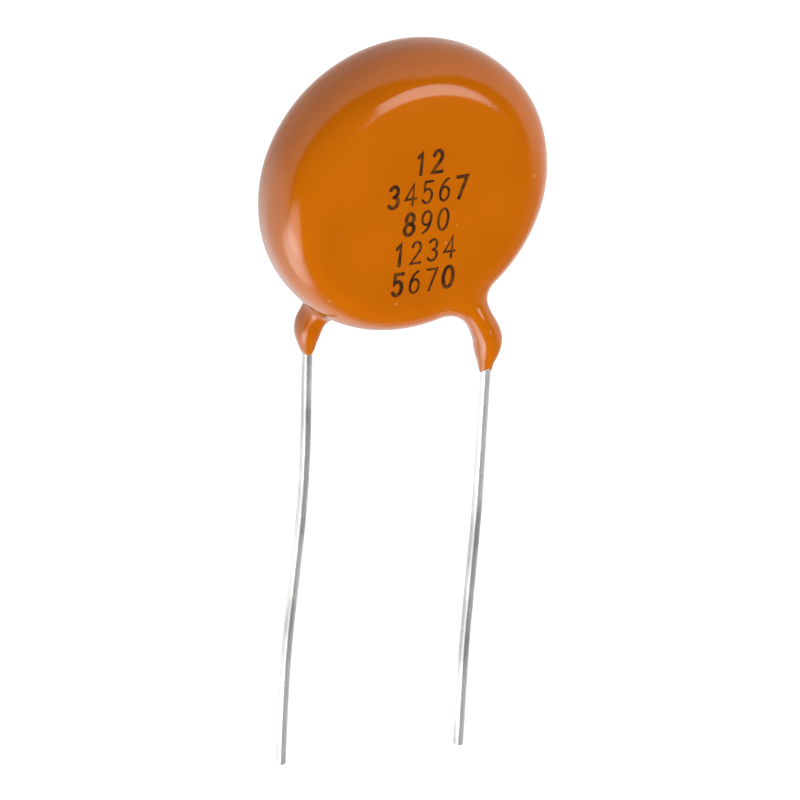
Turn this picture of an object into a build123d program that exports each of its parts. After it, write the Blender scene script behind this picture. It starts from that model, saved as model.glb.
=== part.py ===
from build123d import *
import os

# Ceramic disc capacitor, in millimetres, +Z up. The origin is the middle of the two leads on the
# seating plane, where the lower end of the coating would meet a board. The disc stands upright with
# its axis along Y, its marked face looks along -Y and the leads point down.

# Ceramic element
ceramic_diameter = 19.8
ceramic_thickness = 3.6
ceramic_edge_chamfer = 0.25

# Silvered electrodes, one on each face of the ceramic
electrode_margin = 0.4
electrode_thickness = 0.05

# Tinned copper leads
wire_diameter = 0.81
lead_spacing = 12.7
solder_film = 0.03
wire_tip_round = 0.12
crown_bend_radius = 4.0
long_bend_radius = 110.0

# Solder mounds that hold the leads to the electrodes
solder_length = 7.5
solder_width = 2.6
solder_over_wire = 0.14
solder_draft = 30.0

# Epoxy coating
coating_over_wire = 0.735
coating_over_rim = 1.6
coating_crown = 0.1
coating_edge_round = 3.15
coating_rim_land = 0.35
coating_on_wire_end = 0.1
seam_blend = 1.2
disc_bottom_height = 3.95

# Each lead: its side along X and its face along Y, where its inner end lies from the disc's centre,
# the height of its coating's lower end, and its free run below the crown bend. A run point is the
# distance outward from half the lead spacing, and the height above the seating plane.
leads = {
    "front": {
        "side": 1,
        "face": -1,
        "inner_end": (0.8, -3.7),
        "coating_end_height": 0.0,
        "run": ((0.25, 3.3), (0.23, -12.0), (-0.15, -23.5), (-0.15, -32.65)),
    },
    "rear": {
        "side": -1,
        "face": 1,
        "inner_end": (0.8, -3.7),
        "coating_end_height": 1.6,
        "run": ((-0.1, 3.6), (-0.43, -10.0), (0.57, -25.0), (0.57, -34.15)),
    },
}

# The coating's run down each lead, as rings round the wire. Each gives its place, then how far it
# stands off the wire in the plane of the disc and along the disc's axis. The free rings lie at a
# share of the way back from the coating's lower end to the disc's rim, and the root rings at a
# distance inside the rim.
free_rings = (
    (0.14, 0.4, 0.4),
    (0.34, 0.68, 0.68),
    (0.7, 0.68, 0.62),
)
root_rings = (
    (0.4, 1.2, 0.55),
    (2.4, 1.8, 0.3),
)
rim_search_step = 0.05

wire_radius = wire_diameter / 2
electrode_face = ceramic_thickness / 2 + electrode_thickness
wire_offset = electrode_face + solder_film + wire_radius
body_half_thickness = wire_offset + wire_radius + coating_over_wire
body_radius = ceramic_diameter / 2 + coating_over_rim
disc_centre_height = disc_bottom_height + body_radius


def wire_path(lead):
    """Centre line of a lead, from its inner end on the electrode to its free tip."""
    x_in, z_in = lead["inner_end"]
    points = [(lead["side"] * x_in, lead["face"] * wire_offset, disc_centre_height + z_in)]
    for outward, height in lead["run"]:
        x = lead["side"] * (lead_spacing / 2 + outward)
        points.append((x, lead["face"] * wire_offset, height))
    radii = [crown_bend_radius, long_bend_radius, long_bend_radius]
    return FilletPolyline(*points, radius=radii)


def build_lead(lead):
    """Round wire along its path, with its cut end slightly rounded."""
    path = wire_path(lead)
    wire = sweep(Plane(path @ 0, z_dir=path % 0) * Circle(wire_radius), path=path)
    tip = wire.faces().sort_by(Axis.Z)[0]
    return fillet(tip.edges(), wire_tip_round)


def build_ceramic():
    """Fired ceramic disc with lightly chamfered edges."""
    disc = Cylinder(ceramic_diameter / 2, ceramic_thickness)
    disc = chamfer(disc.edges().filter_by(GeomType.CIRCLE), ceramic_edge_chamfer)
    return Pos(0, 0, disc_centre_height) * Rot(90, 0, 0) * disc


def build_electrode(face):
    """Silver layer on one face of the ceramic, short of its edge by the margin."""
    radius = ceramic_diameter / 2 - ceramic_edge_chamfer - electrode_margin
    y = face * (ceramic_thickness / 2 + electrode_thickness / 2)
    return Pos(0, y, disc_centre_height) * Rot(90, 0, 0) * Cylinder(radius, electrode_thickness)


def build_solder(lead, wire):
    """Solder mound astride the wire, on the electrode, at the wire's inner end."""
    path = wire_path(lead)
    along = path % 0
    middle = path @ 0 + along * (solder_length / 2 - solder_width / 2)
    seat = Plane(
        origin=(middle.X, lead["face"] * electrode_face, middle.Z),
        x_dir=along,
        z_dir=(0, lead["face"], 0),
    )
    outline = seat * SlotOverall(solder_length, solder_width)
    height = solder_film + wire_diameter + solder_over_wire
    return extrude(outline, height, taper=solder_draft) - wire


def build_coated_body():
    """The coating's outer disc: faces slightly crowned, edges fully rounded."""
    edge_round = min(coating_edge_round, body_half_thickness - coating_crown - coating_rim_land / 2)
    shoulder = body_radius - edge_round
    shoulder_y = body_half_thickness - coating_crown
    land = shoulder_y - edge_round
    crown_radius = (shoulder**2 + coating_crown**2) / (2 * coating_crown)
    crown_mid_y = body_half_thickness - crown_radius + (crown_radius**2 - (shoulder / 2) ** 2) ** 0.5
    rim = edge_round * 0.5**0.5
    outline = Curve() + [
        Line((0, -body_half_thickness), (0, body_half_thickness)),
        ThreePointArc((0, body_half_thickness), (shoulder / 2, crown_mid_y), (shoulder, shoulder_y)),
        ThreePointArc((shoulder, shoulder_y), (shoulder + rim, land + rim), (body_radius, land)),
        Line((body_radius, land), (body_radius, -land)),
        ThreePointArc((body_radius, -land), (shoulder + rim, -land - rim), (shoulder, -shoulder_y)),
        ThreePointArc((shoulder, -shoulder_y), (shoulder / 2, -crown_mid_y), (0, -body_half_thickness)),
    ]
    return Pos(0, 0, disc_centre_height) * revolve(make_face(outline), Axis.Y)


def distance_to_rim(path, end):
    """How far back from the coating's lower end the wire passes under the disc's rim."""
    back = 0.0
    point = path @ (end / path.length)
    while Vector(point.X, 0, point.Z - disc_centre_height).length > body_radius:
        back += rim_search_step
        point = path @ ((end - back) / path.length)
    return back


def build_run_down(lead):
    """Coating that ran down a lead before it set: wide at the disc, thin at its end on the wire."""
    path = wire_path(lead)
    tip_height = lead["run"][-1][1]
    end = path.length - (lead["coating_end_height"] - tip_height)
    rim = distance_to_rim(path, end)
    rings = [(0, coating_on_wire_end, coating_on_wire_end)]
    rings += [(share * rim, in_plane, across) for share, in_plane, across in free_rings]
    rings += [(rim + inside, in_plane, across) for inside, in_plane, across in root_rings]
    faces = []
    for back, in_plane, across in rings:
        where = (end - back) / path.length
        along = path % where
        ring = Ellipse(wire_radius + in_plane, wire_radius + across)
        faces.append(Plane(path @ where, x_dir=along.cross(Vector(0, 1, 0)), z_dir=along) * ring)
    return loft(faces)


def blend_seams(skin):
    """Round the seams where the run-downs leave the disc: the longest closed free-form edges."""
    loops = [edge for edge in skin.edges().filter_by(GeomType.BSPLINE) if edge.is_closed]
    seams = ShapeList(loops).sort_by(SortBy.LENGTH)[-len(leads) :]
    return fillet(seams, seam_blend)


def build_coating(inner_pieces):
    """One dipped skin round everything but the free part of the leads."""
    skin = build_coated_body()
    for lead in leads.values():
        skin += build_run_down(lead)
    skin = blend_seams(skin)
    for piece in inner_pieces:
        skin -= piece
    return skin


def build_parts():
    """Every piece of the capacitor, by name."""
    parts = {"ceramic_disc": build_ceramic()}
    for name, lead in leads.items():
        wire = build_lead(lead)
        parts[name + "_electrode"] = build_electrode(lead["face"])
        parts[name + "_solder"] = build_solder(lead, wire)
        parts[name + "_lead"] = wire
    parts["coating"] = build_coating(list(parts.values()))
    return parts


os.makedirs("parts", exist_ok=True)
for name, shape in build_parts().items():
    export_step(shape, f"parts/{name}.step")
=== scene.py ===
import math
import bmesh
import bpy
import numpy as np
from mathutils import Matrix, Vector


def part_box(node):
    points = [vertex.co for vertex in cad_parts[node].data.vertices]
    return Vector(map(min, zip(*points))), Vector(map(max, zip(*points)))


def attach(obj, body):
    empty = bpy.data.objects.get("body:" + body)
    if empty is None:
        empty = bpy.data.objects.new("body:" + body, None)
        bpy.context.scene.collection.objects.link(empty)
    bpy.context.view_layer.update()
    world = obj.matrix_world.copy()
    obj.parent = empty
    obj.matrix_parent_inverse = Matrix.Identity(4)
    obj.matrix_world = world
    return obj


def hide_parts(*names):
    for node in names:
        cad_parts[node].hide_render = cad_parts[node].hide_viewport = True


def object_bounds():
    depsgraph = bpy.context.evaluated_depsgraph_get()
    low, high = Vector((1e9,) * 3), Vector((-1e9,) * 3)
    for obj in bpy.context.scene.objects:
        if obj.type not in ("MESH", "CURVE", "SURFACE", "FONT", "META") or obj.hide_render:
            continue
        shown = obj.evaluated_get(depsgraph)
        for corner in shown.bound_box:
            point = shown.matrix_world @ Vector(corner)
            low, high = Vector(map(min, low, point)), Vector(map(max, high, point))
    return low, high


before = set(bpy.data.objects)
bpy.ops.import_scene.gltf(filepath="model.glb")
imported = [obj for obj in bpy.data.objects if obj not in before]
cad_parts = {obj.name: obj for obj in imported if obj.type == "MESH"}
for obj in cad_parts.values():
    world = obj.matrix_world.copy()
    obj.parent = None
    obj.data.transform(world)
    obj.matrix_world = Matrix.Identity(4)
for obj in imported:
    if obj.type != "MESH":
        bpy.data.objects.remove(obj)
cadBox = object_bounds()
mm = 0.001

# What the frame gives: the disc's middle and size, and the wire's radius
coatingLow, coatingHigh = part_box("coating")
discRadius = (coatingHigh[0] - coatingLow[0]) / 2
discHalf = (coatingHigh[1] - coatingLow[1]) / 2
discMiddle = Vector((0, 0, coatingHigh[2] - discRadius))
leadLow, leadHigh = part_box("front_lead")
wireRadius = (leadHigh[1] - leadLow[1]) / 2


# ---- node helpers

def newMaterial(name):
    material = bpy.data.materials.new(name)
    material.use_nodes = True
    material.node_tree.nodes.clear()
    return material


def addNode(tree, kind, **settings):
    node = tree.nodes.new(kind)
    for key, value in settings.items():
        if key in node.inputs:
            node.inputs[key].default_value = value
        else:
            setattr(node, key, value)
    return node


# ---- the dipped coating

coating = {
    "voxel": 0.19,           # mm, size of the first mesh's cells
    "edgeRound": 3.15,       # mm, round from face to rim
    "faceCrown": 0.1,        # mm
    "blend": 1.9,            # mm, how softly a run-down leaves the disc
    "ringBlend": 0.15,       # mm, how softly a run-down's rings run into each other
    "inset": 0.1,            # mm, from the wire towards the disc's middle plane
    "insetFrom": 1.3,        # mm inward, past which the rings go deeper
    "insetSlope": 0.8,
    "ringSteps": 4,          # spans that the line between two rings is drawn in
    "waviness": 0.018,       # mm, how uneven the dipped skin is
    "tongue": 0.035,         # mm, how ragged the skin ends on the wire
    "tongueReach": 0.35,     # mm
    "faceLimit": 0.15,       # mm, how softly a run-down is kept from standing out of the face
    "relaxRounds": 3,
}

# Each run-down, from inside the disc to its end on the wire: inward from the wire, up from the
# coating's end, and its radius, all in mm. outerToWire is from the lead's outermost line to its
# axis where the coating ends.
runDowns = {
    "front_lead": {
        "side": 1, "outerToWire": 0.0, "endHeight": 0.0,
        "rings": ((3.97, 9.15, 0.1), (2.3, 6.75, 0.5), (1.2, 5.15, 0.9), (0.45, 3.85, 1.05), (0, 2.8, 1.09),
                  (-0.05, 2.0, 1.0), (-0.03, 1.35, 0.8), (0, 0.6, 0.54), (0, 0.15, 0.41), (0, -0.1, 0.3)),
    },
    "rear_lead": {
        "side": -1, "outerToWire": 0.72, "endHeight": 1.6,
        "rings": ((3.56, 7.7, 0.1), (1.96, 5.4, 0.6), (0.86, 3.9, 0.96), (0.12, 2.85, 1.05),
                  (-0.1, 2.05, 1.0), (-0.12, 1.4, 0.82), (-0.1, 0.8, 0.6), (-0.05, 0.35, 0.42), (0, 0.1, 0.3)),
    },
}


def smoothLine(rings):
    steps = coating["ringSteps"]
    padded = [rings[0] * 2 - rings[1]] + rings + [rings[-1] * 2 - rings[-2]]
    line = []
    for before, start, end, after in zip(padded, padded[1:], padded[2:], padded[3:]):
        for step in range(steps):
            t = step / steps
            bend = before * 2 - start * 5 + end * 4 - after
            swing = start * 3 - before - end * 3 + after
            line.append(start + ((end - before) * t + bend * t ** 2 + swing * t ** 3) / 2)
    return line + [rings[-1]]


def runDownLine(node):
    plan = runDowns[node]
    low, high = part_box(node)
    outer = high[0] if plan["side"] > 0 else -low[0]
    wireX = outer - wireRadius - plan["outerToWire"] * mm
    wireY = (low[1] + high[1]) / 2
    towardsMiddle = -math.copysign(mm, wireY)
    line = []
    for inward, up, radius in plan["rings"]:
        x = plan["side"] * (wireX - inward * mm)
        deeper = coating["insetSlope"] * max(inward - coating["insetFrom"], 0)
        y = wireY + towardsMiddle * (coating["inset"] + deeper)
        line.append(Vector((x, y, (plan["endHeight"] + up) * mm, radius * mm)))
    return [(ring.xyz, ring.w) for ring in smoothLine(line)]


def softMin(a, b, k):
    h = np.maximum(k - np.abs(a - b), 0) / k
    return np.minimum(a, b) - h * h * k / 4


def discDistance(p):
    edge = coating["edgeRound"] * mm
    r = np.hypot(p[:, 0], p[:, 2] - discMiddle.z)
    flat = discRadius - edge
    half = discHalf - coating["faceCrown"] * mm * np.minimum(r / flat, 1) ** 2
    out = np.stack([r - flat, np.abs(p[:, 1]) - (half - edge)], 1)
    return np.linalg.norm(np.maximum(out, 0), axis=1) + np.minimum(out.max(axis=1), 0) - edge


def runDownDistance(p, line):
    nearest = None
    for (a, ra), (b, rb) in zip(line, line[1:]):
        start, along = np.array(a), np.array(b - a)
        t = np.clip(((p - start) @ along) / (along @ along), 0, 1)
        gap = np.linalg.norm(p - start - t[:, None] * along, axis=1) - (ra + (rb - ra) * t)
        nearest = gap if nearest is None else softMin(nearest, gap, coating["ringBlend"] * mm)
    return nearest


def coatingDistance(p, lines):
    surface = discDistance(p)
    for line in lines:
        tube = runDownDistance(p, line)
        end, _ = line[-1 - coating["ringSteps"]]
        near = np.exp(-((p[:, 2] - end.z) / (coating["tongueReach"] * mm)) ** 2)
        turn = np.arctan2(p[:, 1] - end.y, p[:, 0] - end.x)
        tube += coating["tongue"] * mm * near * (np.sin(3 * turn + 0.6) + 0.6 * np.sin(5 * turn + 2.0))
        surface = softMin(surface, tube, coating["blend"] * mm)
    wave = np.sin(p[:, 0] * 520 + 1.3) * np.sin(p[:, 2] * 430 + 0.4) + np.sin(p[:, 2] * 900 + p[:, 1] * 700)
    surface += coating["waviness"] * mm * (1 + wave / 2)
    face = np.abs(p[:, 1]) - discHalf
    return -softMin(-surface, -face, coating["faceLimit"] * mm)


def pullToSurface(p, lines, steps):
    tiny = 0.01 * mm
    for _ in range(steps):
        here = coatingDistance(p, lines)
        slope = np.stack([
            (coatingDistance(p + tiny * axis, lines) - coatingDistance(p - tiny * axis, lines)) / (2 * tiny)
            for axis in np.eye(3)
        ], 1)
        p = p - 0.9 * here[:, None] * slope / np.maximum((slope ** 2).sum(axis=1), 0.2)[:, None]
    return p


def addTaper(bm, a, ra, b, rb):
    ends = bmesh.new()
    for centre, radius in ((a, ra), (b, rb)):
        bmesh.ops.create_icosphere(ends, subdivisions=2, radius=radius, matrix=Matrix.Translation(centre))
    bmesh.ops.delete(ends, geom=ends.faces[:], context="FACES_ONLY")
    bmesh.ops.convex_hull(ends, input=ends.verts)
    inside = [vert for vert in ends.verts if not vert.link_faces]
    bmesh.ops.delete(ends, geom=inside, context="VERTS")
    taper = bpy.data.meshes.new("taper")
    ends.to_mesh(taper)
    ends.free()
    bm.from_mesh(taper)
    bpy.data.meshes.remove(taper)


def buildCoating():
    bm = bmesh.new()
    edge = coating["edgeRound"] * mm
    profile = [Vector((0, -discHalf, 0))]
    for step in range(25):
        turn = math.pi * step / 24
        y = -(discHalf - edge) if step < 12.5 else discHalf - edge
        profile.append(Vector((discRadius - edge + edge * math.sin(turn), y - edge * math.cos(turn), 0)))
    profile.append(Vector((0, discHalf, 0)))
    points = [bm.verts.new(v) for v in profile]
    lines = [bm.edges.new(pair) for pair in zip(points, points[1:])]
    bmesh.ops.spin(bm, geom=points + lines, cent=(0, 0, 0), axis=(0, 1, 0), angle=2 * math.pi, steps=96,
                   use_merge=True)
    bmesh.ops.remove_doubles(bm, verts=bm.verts, dist=0.01 * mm)
    bmesh.ops.translate(bm, verts=bm.verts, vec=discMiddle)
    routes = [runDownLine(node) for node in runDowns]
    for route in routes:
        for (a, ra), (b, rb) in zip(route, route[1:]):
            addTaper(bm, a, ra, b, rb)
    bmesh.ops.recalc_face_normals(bm, faces=bm.faces)
    mesh = bpy.data.meshes.new("coatingSolid")
    bm.to_mesh(mesh)
    bm.free()
    rough = bpy.data.objects.new("coatingSolid", mesh)
    bpy.context.scene.collection.objects.link(rough)
    remesh = rough.modifiers.new("cells", "REMESH")
    remesh.mode = "VOXEL"
    remesh.voxel_size = coating["voxel"] * mm
    remesh.adaptivity = 0
    fine = bpy.data.meshes.new_from_object(rough.evaluated_get(bpy.context.evaluated_depsgraph_get()))
    bpy.data.objects.remove(rough)
    bm = bmesh.new()
    bm.from_mesh(fine)
    for _ in range(coating["relaxRounds"]):
        p = np.array([vert.co for vert in bm.verts], dtype=float)
        for vert, place in zip(bm.verts, pullToSurface(p, routes, 4)):
            vert.co = place
        bmesh.ops.smooth_vert(bm, verts=bm.verts, factor=0.5,
                              use_axis_x=True, use_axis_y=True, use_axis_z=True)
    p = np.array([vert.co for vert in bm.verts], dtype=float)
    for vert, place in zip(bm.verts, pullToSurface(p, routes, 5)):
        vert.co = place
    for face in bm.faces:
        face.smooth = True
    bmesh.ops.recalc_face_normals(bm, faces=bm.faces)
    bm.to_mesh(fine)
    bm.free()
    piece = bpy.data.objects.new("dipped_coating", fine)
    bpy.context.scene.collection.objects.link(piece)
    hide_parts("coating")
    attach(piece, "root")
    print("coating", len(fine.vertices), "vertices")
    return piece


# ---- the printed figures

marking = {
    # figures, their baseline in mm, and which of them are heavy
    "rows": (("12", 2.35, "01"), ("34567", -0.05, "04"), ("890", -2.45, "0"), ("1234", -4.85, "0"),
             ("5670", -7.3, "03")),
    "middleX": 0.28,
    "height": 1.72,
    "width": 0.95,
    "advance": 1.38,
    "slant": 0.05,
    "boldStroke": 0.29,
    "thinStroke": 0.19,
    "lift": 0.02,            # mm, ink over the coating
    "thickness": 0.012,
    "longEdge": 0.5,         # mm, past which a stroke is divided to follow the skin
}


def sweepArc(cx, cy, rx, ry, startDeg, endDeg, steps=14):
    points = []
    for step in range(steps + 1):
        turn = math.radians(startDeg + (endDeg - startDeg) * step / steps)
        points.append((cx + rx * math.cos(turn), cy + ry * math.sin(turn)))
    return points


# Strokes of each figure, in a cell 1 wide and 1 high
figures = {
    "0": [sweepArc(0.5, 0.5, 0.42, 0.5, 90, 450, 28)],
    "1": [[(0.25, 0.8), (0.55, 1.0), (0.55, 0.0)]],
    "2": [sweepArc(0.48, 0.72, 0.36, 0.28, 165, -35) + [(0.08, 0.0), (0.92, 0.0)]],
    "3": [sweepArc(0.45, 0.75, 0.34, 0.25, 150, -90), sweepArc(0.45, 0.26, 0.4, 0.26, 85, -150)],
    "4": [[(0.68, 0.0), (0.68, 1.0), (0.05, 0.3), (0.95, 0.3)]],
    "5": [[(0.85, 1.0), (0.22, 1.0), (0.16, 0.56)] + sweepArc(0.45, 0.33, 0.4, 0.33, 125, -150)],
    "6": [sweepArc(0.5, 0.32, 0.38, 0.32, 90, -270, 24), sweepArc(0.95, 0.35, 0.83, 0.68, 105, 180)],
    "7": [[(0.08, 1.0), (0.9, 1.0), (0.35, 0.0)]],
    "8": [sweepArc(0.5, 0.75, 0.32, 0.25, 0, 360, 24), sweepArc(0.5, 0.26, 0.4, 0.26, 0, 360, 24)],
    "9": [sweepArc(0.5, 0.68, 0.38, 0.32, -90, 270, 24), sweepArc(0.05, 0.65, 0.83, 0.68, 0, -75)],
}


def inkStroke(bm, points, width):
    flat = [Vector(point) for point in points]
    closed = (flat[0] - flat[-1]).length < 1e-6
    if closed:
        flat = flat[:-1]
    count = len(flat)
    left, right = [], []
    for i, here in enumerate(flat):
        before = flat[i - 1] if closed or i else here
        after = flat[(i + 1) % count] if closed or i < count - 1 else here
        stepIn = (here - before).normalized()
        stepOut = (after - here).normalized()
        mean = (stepIn + stepOut).normalized()
        across = Vector((-mean.y, mean.x))
        corner = max(0.6, across.dot(Vector((-stepOut.y, stepOut.x))) if stepOut.length else 1)
        if not stepOut.length:
            corner = 1
        half = across * width / 2 / corner
        left.append(bm.verts.new((here.x + half.x, 0, here.y + half.y)))
        right.append(bm.verts.new((here.x - half.x, 0, here.y - half.y)))
    last = count if closed else count - 1
    for i in range(last):
        j = (i + 1) % count
        bm.faces.new((left[i], right[i], right[j], left[j]))
    if not closed:
        for end, inner in ((0, 1), (-1, -2)):
            outward = (flat[end] - flat[inner]).normalized()
            side = Vector((-outward.y, outward.x))
            cap = [left[end], right[end]]
            if (cap[0].co.x - flat[end].x) * side.x + (cap[0].co.z - flat[end].y) * side.y > 0:
                cap.reverse()
            ring = []
            for step in range(1, 6):
                turn = math.radians(-90 + 30 * step)
                spot = flat[end] + (side * math.sin(turn) + outward * math.cos(turn)) * width / 2
                ring.append(bm.verts.new((spot.x, 0, spot.y)))
            bm.faces.new([cap[0]] + ring + [cap[1]])


def buildMarking():
    bm = bmesh.new()
    for text, baseline, heavy in marking["rows"]:
        rowWidth = (len(text) - 1) * marking["advance"] + marking["width"]
        for place, figure in enumerate(text):
            left = marking["middleX"] - rowWidth / 2 + place * marking["advance"]
            stroke = marking["boldStroke"] if str(place) in heavy else marking["thinStroke"]
            for points in figures[figure]:
                spots = []
                for x, z in points:
                    z = z * marking["height"]
                    spots.append((left + x * marking["width"] + z * marking["slant"], baseline + z))
                inkStroke(bm, spots, stroke)
    bmesh.ops.scale(bm, verts=bm.verts, vec=(mm, mm, mm))
    longEdges = [edge for edge in bm.edges if edge.calc_length() > marking["longEdge"] * mm]
    bmesh.ops.subdivide_edges(bm, edges=longEdges, cuts=3, use_grid_fill=True)
    routes = [runDownLine(node) for node in runDowns]
    p = np.array([vert.co for vert in bm.verts], dtype=float)
    p[:, 2] += discMiddle.z
    p[:, 1] = -discHalf
    for _ in range(6):
        p[:, 1] += coatingDistance(p, routes)
    for vert, place in zip(bm.verts, p):
        vert.co = place - np.array((0, marking["lift"] * mm, 0))
    bmesh.ops.recalc_face_normals(bm, faces=bm.faces)
    for face in bm.faces:
        if face.normal.y > 0:
            face.normal_flip()
    bmesh.ops.solidify(bm, geom=bm.faces[:], thickness=marking["thickness"] * mm)
    mesh = bpy.data.meshes.new("printed_figures")
    bm.to_mesh(mesh)
    bm.free()
    piece = bpy.data.objects.new("printed_figures", mesh)
    bpy.context.scene.collection.objects.link(piece)
    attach(piece, "root")
    print("marking", len(mesh.vertices), "vertices")
    return piece


# ---- materials

epoxy = {
    "colour": (0.575, 0.138, 0.0006, 1),
    "darker": (0.53, 0.123, 0.0006, 1),
    "roughness": 0.09,
    "peel": 0.06,            # bump strength of the slightly uneven skin
}


def epoxyMaterial():
    material = newMaterial("orangeEpoxy")
    tree = material.node_tree
    out = addNode(tree, "ShaderNodeOutputMaterial")
    skin = addNode(tree, "ShaderNodeBsdfPrincipled", Roughness=epoxy["roughness"], IOR=1.5)
    place = addNode(tree, "ShaderNodeTexCoord")
    cloud = addNode(tree, "ShaderNodeTexNoise", Scale=160, Detail=3)
    tint = addNode(tree, "ShaderNodeMix", data_type="RGBA")
    tint.inputs[6].default_value = epoxy["darker"]
    tint.inputs[7].default_value = epoxy["colour"]
    widen = addNode(tree, "ShaderNodeMapRange")
    widen.inputs["From Min"].default_value = 0.3
    widen.inputs["From Max"].default_value = 0.62
    peel = addNode(tree, "ShaderNodeTexNoise", Scale=900, Detail=2)
    bump = addNode(tree, "ShaderNodeBump", Strength=epoxy["peel"], Distance=0.0001)
    dust = addNode(tree, "ShaderNodeTexVoronoi", Scale=620)
    dust.inputs["Randomness"].default_value = 1
    speck = addNode(tree, "ShaderNodeMapRange")
    speck.inputs["From Min"].default_value = 0.08
    speck.inputs["From Max"].default_value = 0.03
    where = addNode(tree, "ShaderNodeTexNoise", Scale=260, Detail=1)
    few = addNode(tree, "ShaderNodeMapRange")
    few.inputs["From Min"].default_value = 0.57
    few.inputs["From Max"].default_value = 0.61
    both = addNode(tree, "ShaderNodeMath", operation="MULTIPLY")
    dusty = addNode(tree, "ShaderNodeMix", data_type="RGBA")
    dusty.inputs[7].default_value = (0.7, 0.33, 0.12, 1)
    link = tree.links.new
    for node in (cloud, peel, dust, where):
        link(place.outputs["Object"], node.inputs["Vector"])
    link(cloud.outputs[0], widen.inputs[0])
    link(widen.outputs[0], tint.inputs[0])
    link(dust.outputs["Distance"], speck.inputs[0])
    link(where.outputs[0], few.inputs[0])
    link(speck.outputs[0], both.inputs[0])
    link(few.outputs[0], both.inputs[1])
    link(both.outputs[0], dusty.inputs[0])
    link(tint.outputs[2], dusty.inputs[6])
    link(dusty.outputs[2], skin.inputs["Base Color"])
    link(peel.outputs[0], bump.inputs["Height"])
    link(bump.outputs[0], skin.inputs["Normal"])
    link(skin.outputs[0], out.inputs[0])
    return material


inkTones = {
    "dense": (0.042, 0.017, 0.004, 1),
    "thin": (0.15, 0.046, 0.004, 1),
    "roughness": 0.35,
    "specular": 0.1,
}


def inkMaterial():
    material = newMaterial("brownInk")
    tree = material.node_tree
    out = addNode(tree, "ShaderNodeOutputMaterial")
    ink = addNode(tree, "ShaderNodeBsdfPrincipled", Roughness=inkTones["roughness"])
    ink.inputs["Specular IOR Level"].default_value = inkTones["specular"]
    place = addNode(tree, "ShaderNodeTexCoord")
    patch = addNode(tree, "ShaderNodeTexNoise", Scale=2200, Detail=3)
    tint = addNode(tree, "ShaderNodeMix", data_type="RGBA")
    tint.inputs[6].default_value = inkTones["dense"]
    tint.inputs[7].default_value = inkTones["thin"]
    widen = addNode(tree, "ShaderNodeMapRange")
    widen.inputs["From Min"].default_value = 0.42
    widen.inputs["From Max"].default_value = 0.68
    link = tree.links.new
    link(place.outputs["Object"], patch.inputs["Vector"])
    link(patch.outputs[0], widen.inputs[0])
    link(widen.outputs[0], tint.inputs[0])
    link(tint.outputs[2], ink.inputs["Base Color"])
    link(ink.outputs[0], out.inputs[0])
    return material


# Each metal: its colour, its duller patches, its roughness, how its patches stretch along the wire
# (less is longer), and how metallic its oxide-covered surface still is
metals = {
    "tinnedWire": ((0.73, 0.73, 0.72, 1), (0.42, 0.42, 0.42, 1), 0.24, 0.3, 0.5),
    "solder": ((0.68, 0.69, 0.70, 1), (0.55, 0.56, 0.57, 1), 0.35, 1, 1),
    "firedSilver": ((0.82, 0.81, 0.78, 1), (0.7, 0.69, 0.66, 1), 0.5, 1, 1),
}


def metalMaterial(name):
    colour, dull, roughness, streak, metallic = metals[name]
    material = newMaterial(name)
    tree = material.node_tree
    out = addNode(tree, "ShaderNodeOutputMaterial")
    metal = addNode(tree, "ShaderNodeBsdfPrincipled", Metallic=metallic)
    tint = addNode(tree, "ShaderNodeMix", data_type="RGBA")
    tint.inputs[6].default_value = dull
    tint.inputs[7].default_value = colour
    blotch = addNode(tree, "ShaderNodeTexNoise", Scale=600, Detail=5)
    widen = addNode(tree, "ShaderNodeMapRange")
    widen.inputs["From Min"].default_value = 0.36
    widen.inputs["From Max"].default_value = 0.56
    place = addNode(tree, "ShaderNodeTexCoord")
    stretch = addNode(tree, "ShaderNodeMapping")
    stretch.inputs["Scale"].default_value = (1, 1, streak)
    patch = addNode(tree, "ShaderNodeTexNoise", Scale=1500, Detail=4)
    rough = addNode(tree, "ShaderNodeMapRange")
    rough.inputs["To Min"].default_value = roughness * 0.7
    rough.inputs["To Max"].default_value = roughness * 1.5
    bump = addNode(tree, "ShaderNodeBump", Strength=0.12, Distance=0.00005)
    link = tree.links.new
    link(place.outputs["Object"], stretch.inputs["Vector"])
    link(stretch.outputs[0], patch.inputs["Vector"])
    link(patch.outputs[0], rough.inputs[0])
    link(stretch.outputs[0], blotch.inputs["Vector"])
    link(blotch.outputs[0], widen.inputs[0])
    link(widen.outputs[0], tint.inputs[0])
    link(tint.outputs[2], metal.inputs["Base Color"])
    link(rough.outputs[0], metal.inputs["Roughness"])
    link(patch.outputs[0], bump.inputs["Height"])
    link(bump.outputs[0], metal.inputs["Normal"])
    link(metal.outputs[0], out.inputs[0])
    return material


def ceramicMaterial():
    material = newMaterial("firedCeramic")
    tree = material.node_tree
    out = addNode(tree, "ShaderNodeOutputMaterial")
    body = addNode(tree, "ShaderNodeBsdfPrincipled", Roughness=0.7)
    place = addNode(tree, "ShaderNodeTexCoord")
    grain = addNode(tree, "ShaderNodeTexNoise", Scale=2500, Detail=5)
    tint = addNode(tree, "ShaderNodeMix", data_type="RGBA")
    tint.inputs[6].default_value = (0.58, 0.50, 0.38, 1)
    tint.inputs[7].default_value = (0.74, 0.68, 0.56, 1)
    link = tree.links.new
    link(place.outputs["Object"], grain.inputs["Vector"])
    link(grain.outputs[0], tint.inputs[0])
    link(tint.outputs[2], body.inputs["Base Color"])
    link(body.outputs[0], out.inputs[0])
    return material


def paint(piece, material):
    piece.data.materials.clear()
    piece.data.materials.append(material)


# ---- studio

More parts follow.
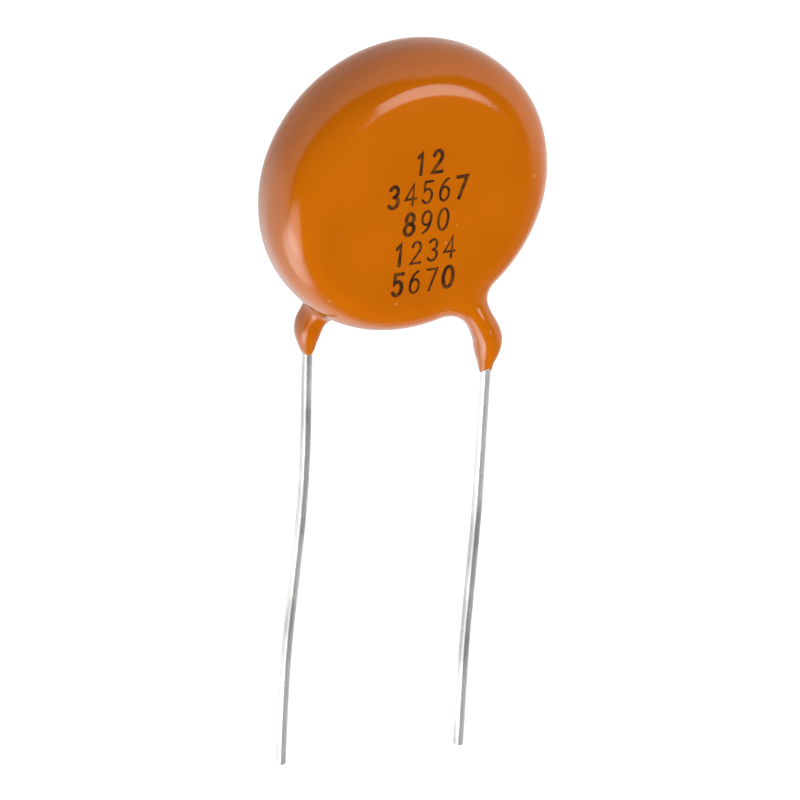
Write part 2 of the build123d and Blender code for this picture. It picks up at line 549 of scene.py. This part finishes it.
studio = {
    "white": 1.0,
    "floorBelow": 0.06,          # m under the lead tips
    # Zones of the sky that glossy surfaces see: azimuth, elevation, half angle and soft edge in degrees
    "darkZones": ((-15, -2, 57, 14), (5, -48, 48, 22), (33, 0, 34, 14)),
    "dimZone": (62, -50, 42, 25),
    "dimLevel": 0.2,
    "glowZones": (               # how much brighter, and the zones whose overlap is that bright
        (0.95, ((-115, -45, 60, 35),)),
        (3.7, ((-60, -47, 24, 20),)),
        (2.8, ((-46, -32, 20, 14),)),
        (4.1, ((23, -4, 17, 6), (100.5, 27.5, 90, 3))),
    ),
    # Softboxes that light the matt colour: azimuth, elevation, width and height in degrees, radiance
    "softboxes": {
        "leftSoftbox": (-64, -42, 46, 74, 2.35),
        "rightSoftbox": (27, -1, 24, 32, 3.1),
        "backSoftbox": (190, -15, 60, 60, 1.4),
    },
    "distance": 0.6,
    "soft": 0.685,               # the level that matt surfaces get from all round
    "softLean": 0.62,            # how much more of it comes from the front and below
    "softFrom": (25, -50),
}


def towards(azimuth, elevation):
    a, e = math.radians(azimuth), math.radians(elevation)
    return Vector((math.sin(a) * math.cos(e), -math.cos(a) * math.cos(e), math.sin(e)))


def zoneMask(tree, direction, azimuth, elevation, half, soft):
    dot = addNode(tree, "ShaderNodeVectorMath", operation="DOT_PRODUCT")
    dot.inputs[1].default_value = towards(azimuth, elevation)
    tree.links.new(direction, dot.inputs[0])
    edge = addNode(tree, "ShaderNodeMapRange", interpolation_type="SMOOTHSTEP")
    edge.inputs["From Min"].default_value = math.cos(math.radians(half))
    edge.inputs["From Max"].default_value = math.cos(math.radians(half - soft))
    tree.links.new(dot.outputs["Value"], edge.inputs[0])
    return edge.outputs[0]


def multiply(tree, a, b):
    node = addNode(tree, "ShaderNodeMath", operation="MULTIPLY")
    tree.links.new(a, node.inputs[0])
    tree.links.new(b, node.inputs[1])
    return node.outputs[0]


def buildWorld():
    world = bpy.data.worlds.new("studio")
    bpy.context.scene.world = world
    world.use_nodes = True
    tree = world.node_tree
    tree.nodes.clear()
    out = addNode(tree, "ShaderNodeOutputWorld")
    sky = addNode(tree, "ShaderNodeBackground")
    plain = addNode(tree, "ShaderNodeBackground", Strength=studio["white"])
    plain.inputs[0].default_value = (1, 1, 1, 1)
    sky.inputs[0].default_value = (1, 1, 1, 1)
    place = addNode(tree, "ShaderNodeTexCoord")
    rays = addNode(tree, "ShaderNodeLightPath")
    level = None
    for zone in studio["darkZones"]:
        mask = zoneMask(tree, place.outputs["Generated"], *zone)
        keep = addNode(tree, "ShaderNodeMath", operation="SUBTRACT")
        keep.inputs[0].default_value = 1
        tree.links.new(mask, keep.inputs[1])
        level = keep.outputs[0] if level is None else multiply(tree, level, keep.outputs[0])
    dim = addNode(tree, "ShaderNodeMapRange")
    dim.inputs["To Min"].default_value = 1
    dim.inputs["To Max"].default_value = studio["dimLevel"]
    tree.links.new(zoneMask(tree, place.outputs["Generated"], *studio["dimZone"]), dim.inputs[0])
    level = multiply(tree, level, dim.outputs[0])
    for gain, zones in studio["glowZones"]:
        masks = [zoneMask(tree, place.outputs["Generated"], *zone) for zone in zones]
        mask = masks[0] if len(masks) == 1 else multiply(tree, *masks)
        glow = addNode(tree, "ShaderNodeMath", operation="MULTIPLY_ADD")
        glow.inputs[1].default_value = gain
        tree.links.new(mask, glow.inputs[0])
        tree.links.new(level, glow.inputs[2])
        level = glow.outputs[0]
    matt = addNode(tree, "ShaderNodeMix", data_type="FLOAT")
    lean = addNode(tree, "ShaderNodeVectorMath", operation="DOT_PRODUCT")
    lean.inputs[1].default_value = towards(*studio["softFrom"])
    tree.links.new(place.outputs["Generated"], lean.inputs[0])
    spread = addNode(tree, "ShaderNodeMapRange")
    spread.inputs["From Min"].default_value = -1
    spread.inputs["To Min"].default_value = studio["soft"] * (1 - studio["softLean"])
    spread.inputs["To Max"].default_value = studio["soft"] * (1 + studio["softLean"])
    tree.links.new(lean.outputs["Value"], spread.inputs[0])
    tree.links.new(spread.outputs[0], matt.inputs[3])
    tree.links.new(rays.outputs["Is Diffuse Ray"], matt.inputs[0])
    tree.links.new(level, matt.inputs[2])
    level = matt.outputs[0]
    tree.links.new(level, sky.inputs["Strength"])
    mix = addNode(tree, "ShaderNodeMixShader")
    tree.links.new(rays.outputs["Is Camera Ray"], mix.inputs[0])
    tree.links.new(sky.outputs[0], mix.inputs[1])
    tree.links.new(plain.outputs[0], mix.inputs[2])
    tree.links.new(mix.outputs[0], out.inputs[0])


def buildSoftboxes():
    reach = studio["distance"]
    for name, (azimuth, elevation, width, height, radiance) in studio["softboxes"].items():
        data = bpy.data.lights.new(name, "AREA")
        data.shape = "ELLIPSE"
        data.size = 2 * reach * math.tan(math.radians(width / 2))
        data.size_y = 2 * reach * math.tan(math.radians(height / 2))
        data.energy = radiance * math.pi * data.size * data.size_y
        lamp = bpy.data.objects.new(name, data)
        away = towards(azimuth, elevation)
        lamp.location = discMiddle + away * reach
        lamp.rotation_euler = away.to_track_quat("Z", "Y").to_euler()
        lamp.visible_camera = False
        lamp.visible_glossy = False
        bpy.context.scene.collection.objects.link(lamp)


def buildFloor():
    bm = bmesh.new()
    bmesh.ops.create_grid(bm, x_segments=1, y_segments=1, size=3)
    mesh = bpy.data.meshes.new("floor")
    bm.to_mesh(mesh)
    bm.free()
    floor = bpy.data.objects.new("floor", mesh)
    floor.location.z = cadBox[0][2] - studio["floorBelow"]
    bpy.context.scene.collection.objects.link(floor)
    floor.visible_glossy = False
    floor.visible_diffuse = False
    material = newMaterial("whiteFloor")
    tree = material.node_tree
    out = addNode(tree, "ShaderNodeOutputMaterial")
    glow = addNode(tree, "ShaderNodeEmission", Strength=0.7)
    matt = addNode(tree, "ShaderNodeBsdfDiffuse")
    matt.inputs[0].default_value = (0.9, 0.9, 0.9, 1)
    both = addNode(tree, "ShaderNodeAddShader")
    tree.links.new(glow.outputs[0], both.inputs[0])
    tree.links.new(matt.outputs[0], both.inputs[1])
    below = addNode(tree, "ShaderNodeNewGeometry")
    clear = addNode(tree, "ShaderNodeBsdfTransparent")
    sided = addNode(tree, "ShaderNodeMixShader")
    tree.links.new(below.outputs["Backfacing"], sided.inputs[0])
    tree.links.new(both.outputs[0], sided.inputs[1])
    tree.links.new(clear.outputs[0], sided.inputs[2])
    tree.links.new(sided.outputs[0], out.inputs[0])
    paint(floor, material)


camera = {
    "azimuth": 27.06,        # degrees left of the marked face's normal
    "elevation": 26.94,
    "roll": 3.07,
    "distance": 0.400,       # m
    "right": 0.274,          # mm, the disc's middle from the picture's middle
    "up": 15.946,
    "lens": 243.0,
}


def buildCamera():
    a, e, roll = (math.radians(camera[key]) for key in ("azimuth", "elevation", "roll"))
    look = Vector((math.sin(a) * math.cos(e), math.cos(a) * math.cos(e), -math.sin(e)))
    level = Vector((math.cos(a), -math.sin(a), 0))
    upright = level.cross(look)
    right = level * math.cos(roll) + upright * math.sin(roll)
    up = upright * math.cos(roll) - level * math.sin(roll)
    eye = discMiddle - look * camera["distance"] - right * camera["right"] * mm - up * camera["up"] * mm
    data = bpy.data.cameras.new("camera")
    data.lens = camera["lens"]
    data.sensor_width = 36
    data.clip_start = 0.01
    data.clip_end = 20
    view = bpy.data.objects.new("camera", data)
    view.matrix_world = Matrix.Translation(eye) @ Matrix((right, up, -look)).transposed().to_4x4()
    bpy.context.scene.collection.objects.link(view)
    bpy.context.scene.camera = view


bpy.context.scene.view_settings.view_transform = "Standard"
buildCamera()
buildWorld()
buildSoftboxes()
buildFloor()
print("studio ready")

skin = buildCoating()
figuresPiece = buildMarking()
paint(skin, epoxyMaterial())
paint(figuresPiece, inkMaterial())
tinned = metalMaterial("tinnedWire")
solder = metalMaterial("solder")
silver = metalMaterial("firedSilver")
for node in ("front_lead", "rear_lead"):
    paint(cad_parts[node], tinned)
for node in ("front_solder", "rear_solder"):
    paint(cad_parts[node], solder)
for node in ("front_electrode", "rear_electrode"):
    paint(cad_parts[node], silver)
paint(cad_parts["ceramic_disc"], ceramicMaterial())
print("materials ready")
